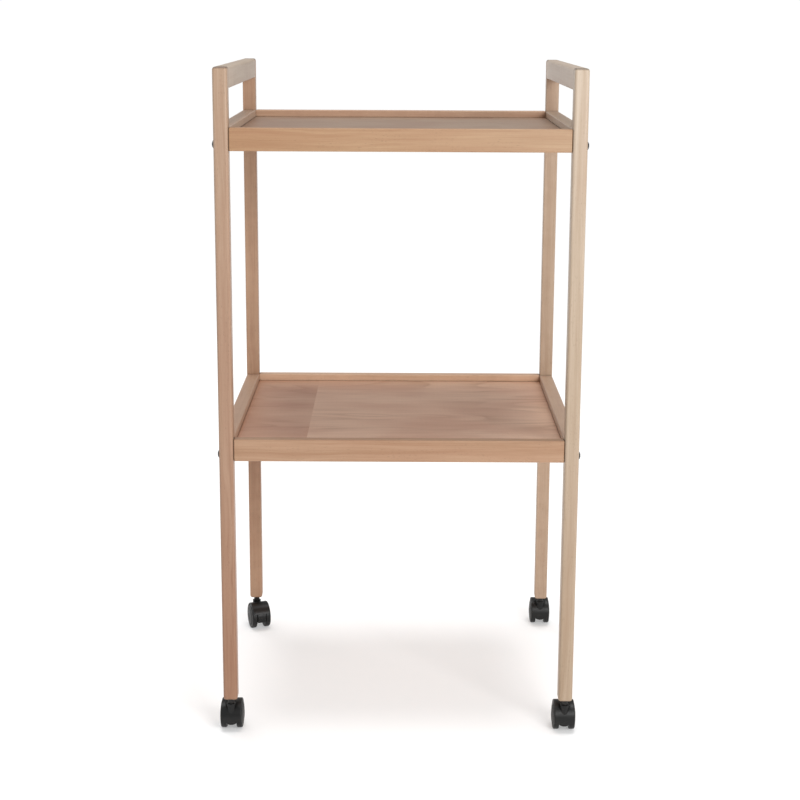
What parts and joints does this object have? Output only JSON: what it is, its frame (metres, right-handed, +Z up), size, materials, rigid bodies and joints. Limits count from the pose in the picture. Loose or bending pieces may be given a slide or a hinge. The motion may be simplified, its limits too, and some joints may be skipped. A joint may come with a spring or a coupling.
{
  "type": "serving trolley",
  "caption": "Light wooden serving trolley: side frames with handle rails carry trays with sunk panels, on swivelling twin-wheel castors.",
  "frame": {"origin": "on the floor, at the centre of the whole footprint, castors included; the wooden frame's middle is 10 mm in front of it", "axes": "+X to the right seen from the front, +Y to the back, +Z up"},
  "size_m": [0.463, 0.4229, 0.85],
  "materials": {
    "beech_solid": "clear satin lacquer on solid beech",
    "beech_apron": "clear satin lacquer on solid beech",
    "beech_veneer": "clear satin lacquer on beech veneer",
    "beech_dowel": "raw turned beech",
    "black_nylon": "satin moulded nylon",
    "black_wheel": "satin moulded nylon",
    "zinc_steel": "bright zinc plate",
    "blackened_steel": "black oxide, satin"
  },
  "bodies": {
    "frame": {"leg_front_left": "beech_solid", "leg_front_right": "beech_solid", "leg_back_left": "beech_solid", "leg_back_right": "beech_solid", "handle_rail_left": "beech_solid", "handle_rail_right": "beech_solid", "upper_side_rail_left": "beech_solid", "upper_side_rail_right": "beech_solid", "upper_apron_front": "beech_apron", "upper_apron_back": "beech_apron", "upper_panel": "beech_veneer", "upper_bolts": "blackened_steel", "upper_barrel_nuts": "zinc_steel", "upper_dowels": "beech_dowel", "lower_side_rail_left": "beech_solid", "lower_side_rail_right": "beech_solid", "lower_apron_front": "beech_apron", "lower_apron_back": "beech_apron", "lower_panel": "beech_veneer", "lower_bolts": "blackened_steel", "lower_barrel_nuts": "zinc_steel", "lower_dowels": "beech_dowel", "frame_dowels_left": "beech_dowel", "frame_dowels_right": "beech_dowel", "castor_front_left_stem": "zinc_steel", "castor_front_left_spring_ring": "zinc_steel", "castor_front_left_socket": "black_nylon", "castor_front_right_stem": "zinc_steel", "castor_front_right_spring_ring": "zinc_steel", "castor_front_right_socket": "black_nylon", "castor_back_left_stem": "zinc_steel", "castor_back_left_spring_ring": "zinc_steel", "castor_back_left_socket": "black_nylon", "castor_back_right_stem": "zinc_steel", "castor_back_right_spring_ring": "zinc_steel", "castor_back_right_socket": "black_nylon"},
    "swivel_front_left": {"castor_front_left_hood": "black_nylon", "castor_front_left_axle": "zinc_steel"},
    "wheel_front_left_a": {"castor_front_left_wheel_a": "black_wheel"},
    "wheel_front_left_b": {"castor_front_left_wheel_b": "black_wheel"},
    "swivel_front_right": {"castor_front_right_hood": "black_nylon", "castor_front_right_axle": "zinc_steel"},
    "wheel_front_right_a": {"castor_front_right_wheel_a": "black_wheel"},
    "wheel_front_right_b": {"castor_front_right_wheel_b": "black_wheel"},
    "swivel_back_left": {"castor_back_left_hood": "black_nylon", "castor_back_left_axle": "zinc_steel"},
    "wheel_back_left_a": {"castor_back_left_wheel_a": "black_wheel"},
    "wheel_back_left_b": {"castor_back_left_wheel_b": "black_wheel"},
    "swivel_back_right": {"castor_back_right_hood": "black_nylon", "castor_back_right_axle": "zinc_steel"},
    "wheel_back_right_a": {"castor_back_right_wheel_a": "black_wheel"},
    "wheel_back_right_b": {"castor_back_right_wheel_b": "black_wheel"}
  },
  "joints": [
    {"name": "castor_front_left_swivel", "type": "hinge", "parent": "frame", "child": "swivel_front_left", "pos_m": [-0.216, -0.201, 0.03], "axis": [0, 0, 1], "continuous": true},
    {"name": "castor_front_left_wheel_a_spin", "type": "hinge", "parent": "swivel_front_left", "child": "wheel_front_left_a", "pos_m": [-0.216, -0.188, 0.0175], "axis": [1, 0, 0], "continuous": true},
    {"name": "castor_front_left_wheel_b_spin", "type": "hinge", "parent": "swivel_front_left", "child": "wheel_front_left_b", "pos_m": [-0.216, -0.188, 0.0175], "axis": [1, 0, 0], "continuous": true},
    {"name": "castor_front_right_swivel", "type": "hinge", "parent": "frame", "child": "swivel_front_right", "pos_m": [0.216, -0.201, 0.03], "axis": [0, 0, 1], "continuous": true},
    {"name": "castor_front_right_wheel_a_spin", "type": "hinge", "parent": "swivel_front_right", "child": "wheel_front_right_a", "pos_m": [0.216, -0.188, 0.0175], "axis": [1, 0, 0], "continuous": true},
    {"name": "castor_front_right_wheel_b_spin", "type": "hinge", "parent": "swivel_front_right", "child": "wheel_front_right_b", "pos_m": [0.216, -0.188, 0.0175], "axis": [1, 0, 0], "continuous": true},
    {"name": "castor_back_left_swivel", "type": "hinge", "parent": "frame", "child": "swivel_back_left", "pos_m": [-0.216, 0.181, 0.03], "axis": [0, 0, 1], "continuous": true},
    {"name": "castor_back_left_wheel_a_spin", "type": "hinge", "parent": "swivel_back_left", "child": "wheel_back_left_a", "pos_m": [-0.21166, 0.16875, 0.0175], "axis": [-0.9426, -0.3338, 0], "continuous": true},
    {"name": "castor_back_left_wheel_b_spin", "type": "hinge", "parent": "swivel_back_left", "child": "wheel_back_left_b", "pos_m": [-0.21166, 0.16875, 0.0175], "axis": [-0.9426, -0.3338, 0], "continuous": true},
    {"name": "castor_back_right_swivel", "type": "hinge", "parent": "frame", "child": "swivel_back_right", "pos_m": [0.216, 0.181, 0.03], "axis": [0, 0, 1], "continuous": true},
    {"name": "castor_back_right_wheel_a_spin", "type": "hinge", "parent": "swivel_back_right", "child": "wheel_back_right_a", "pos_m": [0.216, 0.194, 0.0175], "axis": [1, 0, 0], "continuous": true},
    {"name": "castor_back_right_wheel_b_spin", "type": "hinge", "parent": "swivel_back_right", "child": "wheel_back_right_b", "pos_m": [0.216, 0.194, 0.0175], "axis": [1, 0, 0], "continuous": true}
  ]
}
